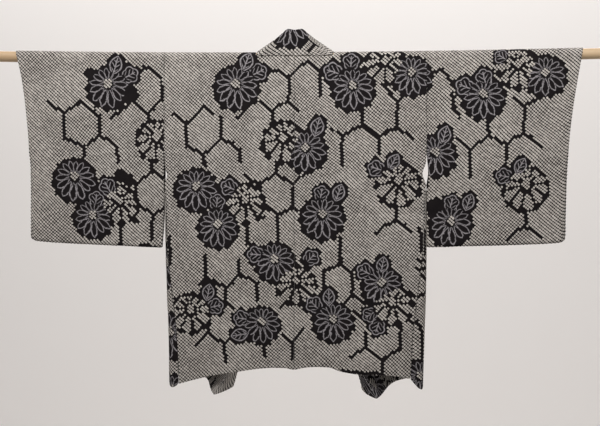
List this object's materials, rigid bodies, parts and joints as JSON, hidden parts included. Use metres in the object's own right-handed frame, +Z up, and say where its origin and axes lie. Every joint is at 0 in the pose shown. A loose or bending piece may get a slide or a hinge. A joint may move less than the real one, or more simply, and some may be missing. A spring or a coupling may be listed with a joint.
{
  "type": "haori jacket on a hanging rod",
  "caption": "Short open-fronted kimono jacket in tie-dyed silk, hung flat by its shoulders and sleeves on a round wooden rod.",
  "frame": {"origin": "the rod's axis at the middle of its length, where the rod and the jacket are held", "axes": "+Z up; +X along the rod, to the right when the jacket's back is looked at; the back faces -Y and the fronts hang on the +Y side"},
  "size_m": [1.5, 0.1011, 0.8537],
  "materials": {
    "kanoko_silk": "tie-dyed silk crepe, black with off-white dots and flowers, soft low sheen",
    "rod_wood": "pale planed softwood, unvarnished"
  },
  "bodies": {
    "root": {"rod": "rod_wood", "body_left": "kanoko_silk", "body_right": "kanoko_silk", "sleeve_left": "kanoko_silk", "sleeve_right": "kanoko_silk", "gusset_left": "kanoko_silk", "gusset_right": "kanoko_silk", "collar": "kanoko_silk"}
  },
  "joints": []
}
